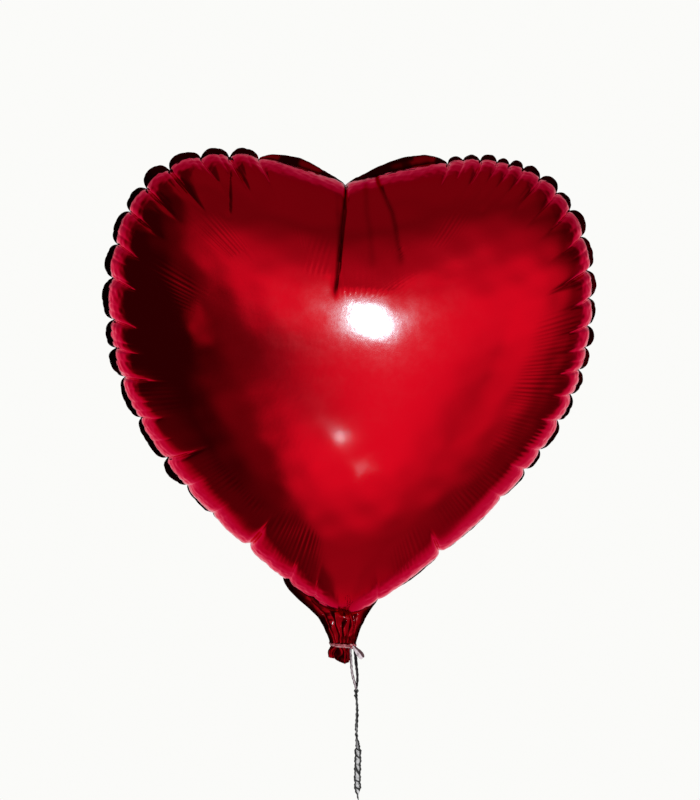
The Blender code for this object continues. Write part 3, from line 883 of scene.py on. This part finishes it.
def red_foil():
    """Mirror-bright red film with faint scuffs and fine wrinkles, painted dark where its points carry painted
    shade.
    """
    made, n, where = new_material("red_foil_film")
    film = n.mix(n.noise(where, 9.0, 3.0, Roughness=0.5), (0.63, 0.0018, 0.010), (0.70, 0.0022, 0.014))
    slant = n.add("ShaderNodeLayerWeight", {"Blend": 0.5}).outputs["Facing"]
    rosy = n.mix(n.smoothstep(slant, 0.40, 0.80), film, (0.74, 0.030, 0.080))
    # Painted shade from the points darkens the colour and the edge tint.
    painted_shade = n.add("ShaderNodeAttribute", attribute_name="painted_shade").outputs["Fac"]
    rough = n.smoothstep(n.noise(where, 60.0, 6.0, Roughness=0.65), 0.3, 0.75, 0.10, 0.15)
    wrinkles = n.noise(where, 240.0, 4.0, Roughness=0.55)
    links = {
        "Base Color": n.mix(painted_shade, rosy, (0.040, 0.00013, 0.0008)),
        "Specular Tint": n.mix(painted_shade, (1.0, 0.42, 0.50), (0.12, 0.0004, 0.0022)),
        "Roughness": rough,
        "Normal": n.bump(0.06, 0.0004, wrinkles),
    }
    n.surface({"Metallic": 1.0}, links)
    return made


def ribbon_plastic(name, light, dark):
    """Satin ribbon with fine lengthwise ridges, with painted shade at its edges and in its creases, and dark
    blotches at random.
    """
    made, n, where = new_material(name)
    stretched = n.add("ShaderNodeMapping", {"Scale": (900.0, 900.0, 60.0)}, {"Vector": where})
    ridges = n.noise(stretched.outputs[0], 1.0, 3.0)
    blotch = n.noise(where, 420.0, 2.0)
    edge = n.add("ShaderNodeAttribute", attribute_name="edge").outputs["Fac"]
    # Painted shade where the points are marked as edge or fold, plus random dark blotches.
    shade = n.math("ADD", n.smoothstep(edge, 0.22, 0.66), n.smoothstep(blotch, 0.50, 0.66, 0.0, 0.6))
    colour = n.mix(n.math("MINIMUM", shade, 1.0), light, dark)
    links = {"Base Color": colour, "Normal": n.bump(0.4, 0.0002, ridges)}
    n.surface({"Roughness": 0.45, "Specular IOR Level": 0.4}, links)
    return made


def clear_film():
    """Clear glossy film with a faint cloudiness."""
    made, n, where = new_material("clear_valve_film")
    rough = n.smoothstep(n.noise(where, 80.0, 4.0), 0.3, 0.7, 0.08, 0.22)
    values = {"Base Color": (0.86, 0.88, 0.9, 1), "Transmission Weight": 0.8, "IOR": 1.5}
    n.surface(values, {"Roughness": rough})
    return made


# ---------------------------------------------------------------- studio

FLOOR_Z = -0.22
GLINT_DISTANCE = 3.0
GLINT_COLOUR = (0.0015, 1.0, 0.18)


# Soft spots of light in the room: middle across and up, radius across and up, power.
SOFT_SPOTS = (
    (-0.22, 0.30, 0.10, 0.07, 0.14),
    (-0.31, 0.03, 0.04, 0.05, 0.30),
    (-0.096, -0.138, 0.047, 0.046, 0.25),
    (0.076, 0.227, 0.097, 0.023, 0.26),
)


def studio_world():
    """White behind the balloon, a dim room in front of it, and a plain pale tone for the camera.

    The room is laid out by the slope a mirror facing the camera needs to show it: p across and r upwards.
    """
    world = bpy.context.scene.world = bpy.data.worlds.new("studio")
    world.use_nodes = True
    n = Nodes(world.node_tree)
    where = n.add("ShaderNodeTexCoord").outputs["Generated"]
    parts = n.add("ShaderNodeSeparateXYZ", links={"Vector": where}).outputs
    depth = n.math("MAXIMUM", n.math("SUBTRACT", 1.0, parts["Y"]), 0.02)
    p = n.math("DIVIDE", parts["X"], depth)
    r = n.math("DIVIDE", parts["Z"], depth)

    def product(*factors):
        out = factors[0]
        for factor in factors[1:]:
            out = n.math("MULTIPLY", out, factor)
        return out

    def total(*terms):
        out = terms[0]
        for term in terms[1:]:
            out = n.math("ADD", out, term)
        return out

    def blob(middle_p, middle_r, radius_p, radius_r, power):
        away_p = n.math("DIVIDE", n.math("SUBTRACT", p, middle_p), radius_p)
        away_r = n.math("DIVIDE", n.math("SUBTRACT", r, middle_r), radius_r)
        square = total(product(away_p, away_p), product(away_r, away_r))
        return product(n.math("EXPONENT", product(square, -1.0)), power)

    # The left of the room is dark. The dark starts further left above and below the balloon's middle.
    moved = total(n.smoothstep(r, 0.0, 0.35, 0.0, 0.28), n.smoothstep(r, 0.45, 0.85, 0.0, 0.12))
    moved = total(p, moved, n.smoothstep(r, -0.40, -0.28, 0.04, 0.0))
    moved = total(moved, n.smoothstep(r, -0.24, -0.08, 0.085, -0.03), n.smoothstep(r, 0.0, 0.07, 0.0, 0.03))
    left = total(n.smoothstep(moved, -0.40, -0.12, 0.0, 0.17), n.smoothstep(moved, -0.15, 0.01, 0.0, 0.83))
    ceiling = total(n.smoothstep(r, 0.08, 0.30, 0.60, 0.155), n.smoothstep(r, 0.12, 0.60, 0.40, 0.0))
    ground = total(n.smoothstep(r, -0.62, -0.19, 0.28), n.smoothstep(r, -1.3, -0.8, 0.22, 0.0))
    low = product(n.smoothstep(p, 0.30, 0.60), n.smoothstep(r, -0.35, -0.10, 0.22, 0.0))
    inner = product(n.smoothstep(p, 0.10, 0.24), n.smoothstep(r, -0.15, 0.02, 0.22, 0.04))
    dim = total(low, inner, blob(0.30, -0.14, 0.07, 0.18, 0.26))
    right = product(n.smoothstep(p, 0.36, 1.12, 1.0, 0.18), n.math("SUBTRACT", 1.0, dim))
    glow = total(*(blob(*spot) for spot in SOFT_SPOTS))
    edges = total(n.smoothstep(r, -0.8, -0.3, 0.08, 0.0), n.smoothstep(r, 0.5, 0.8, 0.0, 0.04))
    room = total(product(left, ceiling, ground, right), glow, edges, 0.035)

    # Behind the balloon it is white, less so above.
    steep = n.math("SQRT", total(product(p, p), product(r, r)))
    beyond = total(steep, n.smoothstep(r, -0.9, -0.5, 0.30, 0.0))
    behind = total(n.smoothstep(beyond, 1.2, 2.1, 0.0, 0.62), n.smoothstep(beyond, 2.2, 4.0, 0.0, 0.25))
    light = n.math("MAXIMUM", room, product(behind, n.smoothstep(r, 0.0, 1.0, 1.0, 0.6)))

    seen = n.add("ShaderNodeLightPath").outputs["Is Camera Ray"]
    shown = n.add("ShaderNodeBackground", {"Color": (0.964, 0.964, 0.945, 1), "Strength": 1.0})
    lit = n.add("ShaderNodeBackground", {"Color": (1, 1, 1, 1)}, {"Strength": light})
    both = n.add("ShaderNodeMixShader", links={0: seen, 1: lit.outputs[0], 2: shown.outputs[0]})
    n.add("ShaderNodeOutputWorld", links={"Surface": both.outputs[0]})


def pale_floor():
    """A plain pale floor well below the ribbon, which fades out into the white round it."""
    made, n, where = new_material("pale_floor")
    reach = n.add("ShaderNodeVectorMath", links={0: where}, operation="LENGTH").outputs["Value"]
    fade = n.smoothstep(reach, 0.45, 1.5)
    tone = n.smoothstep(n.noise(where, 30.0, 3.0), 0.2, 0.8, 0.86, 0.90)
    paint = n.add("ShaderNodeBsdfDiffuse", links={"Color": tone})
    clear = n.add("ShaderNodeBsdfTransparent")
    both = n.add("ShaderNodeMixShader", links={0: fade, 1: paint.outputs[0], 2: clear.outputs[0]})
    n.add("ShaderNodeOutputMaterial", links={"Surface": both.outputs[0]})
    floor = make_object("floor", [(-3, -3, 0), (3, -3, 0), (3, 3, 0), (-3, 3, 0)], [(0, 1, 2, 3)], made)
    floor.location.z = FLOOR_Z
    floor.visible_glossy = False


def area_light(name, shape, place, facing, power):
    """A lamp at place that shines along facing."""
    data = bpy.data.lights.new(name, "AREA")
    data.shape = shape
    data.energy = power
    lamp = placed(name, data)
    lamp.location = place
    lamp.rotation_euler = facing.to_track_quat("-Z", "Y").to_euler()
    return lamp


def key_lamp():
    """A lamp from the upper right, which the film does not mirror."""
    place = Vector((0.9, -1.4, 2.2))
    lamp = area_light("key", "DISK", place, Vector((0, 0, 0.5)) - place, 26)
    lamp.data.size = 0.9
    lamp.visible_glossy = False


def glint_lamp(name, pieces, p, r, half_width, half_height, power):
    """A lamp for the film only, tinted against the film's own red so that the glint is white.

    It stands where a mirror facing the camera shows it if its slope is p across and r upwards.
    """
    reach = 2 / (1 + p * p + r * r)
    away = Vector((p * reach, 1 - reach, r * reach))
    place = Vector((0.01, -HALF_DEPTH, MIDDLE_Z + 0.05)) + away * GLINT_DISTANCE
    lamp = area_light(name, "ELLIPSE", place, -away, power)
    lamp.data.size = 4 * half_width * GLINT_DISTANCE
    lamp.data.size_y = 4 * half_height * GLINT_DISTANCE
    lamp.data.color = GLINT_COLOUR
    lit = bpy.data.collections.new(name + "_lit")
    for piece in pieces:
        lit.objects.link(piece)
    lamp.light_linking.receiver_collection = lit


def make_camera():
    """The photograph's view: slightly above and to the left of the balloon, with a long lens."""
    distance, azimuth, elevation, roll = 2.20, -2.5, 5.0, 1.15
    data = bpy.data.cameras.new("camera")
    data.sensor_width = 36.0
    data.lens = 129.0
    camera = placed("camera", data)
    a, e = math.radians(azimuth), math.radians(elevation)
    back = Vector((math.sin(a) * math.cos(e), -math.cos(a) * math.cos(e), math.sin(e)))
    aim = Vector((0.0008, 0.0, MIDDLE_Z - 0.0612))
    turn = (-back).to_track_quat("-Z", "Y").to_matrix() @ Matrix.Rotation(math.radians(roll), 3, "Z")
    camera.matrix_world = Matrix.Translation(aim + back * distance) @ turn.to_4x4()
    bpy.context.scene.camera = camera


def main():
    foil = red_foil()
    # One silver ribbon in painted copies: pink and light pink where it mirrors the red film, dim and dark
    # where it lies in shade.
    silver = ribbon_plastic("silver_ribbon", (0.86, 0.86, 0.87), (0.035, 0.035, 0.035))
    dimmed_silver = ribbon_plastic("silver_ribbon_painted_dim", (0.16, 0.16, 0.16), (0.030, 0.030, 0.030))
    rosy = ribbon_plastic("silver_ribbon_painted_pink", (0.95, 0.55, 0.57), (0.55, 0.07, 0.10))
    pale = ribbon_plastic("silver_ribbon_painted_light_pink", (0.86, 0.74, 0.80), (0.10, 0.04, 0.05))
    shaded = ribbon_plastic("silver_ribbon_shaded", (0.030, 0.022, 0.030), (0.010, 0.008, 0.010))
    front = film_panel("foil_front", -1, foil, ["front_panel"])
    back = film_panel("foil_back", 1, foil, ["back_panel"])
    tail(foil)
    tie_wrap(rosy)
    tie_knot(rosy)
    short_end(pale)
    loop_strand("loop_left", -1, pale, "ribbon_loop_left")
    loop_strand("loop_right", 1, shaded, "ribbon_loop_right")
    lower = knot_mesh(JOINT["link_1_swing"] - Vector((0, 0, 0.0014)), 0.0016, 2.0)
    ribbon_piece("lower_knot", [lower], dimmed_silver, "loop", ["ribbon_lower_knot"])
    ribbon_strands(silver, dimmed_silver)
    for node in ("valve_front_film", "valve_back_film"):
        frame["nodes"][node].data.materials[0] = clear_film()
    studio_world()
    pale_floor()
    key_lamp()
    glint_lamp("glint_main", (front, back), 0.044, 0.070, 0.021, 0.046, 720)
    glint_lamp("glint_upper", (front, back), -0.019, -0.156, 0.003, 0.004, 14)
    glint_lamp("glint_lower", (front, back), 0.030, -0.250, 0.012, 0.016, 6)
    make_camera()
    bpy.context.scene.view_settings.view_transform = "Standard"


main()
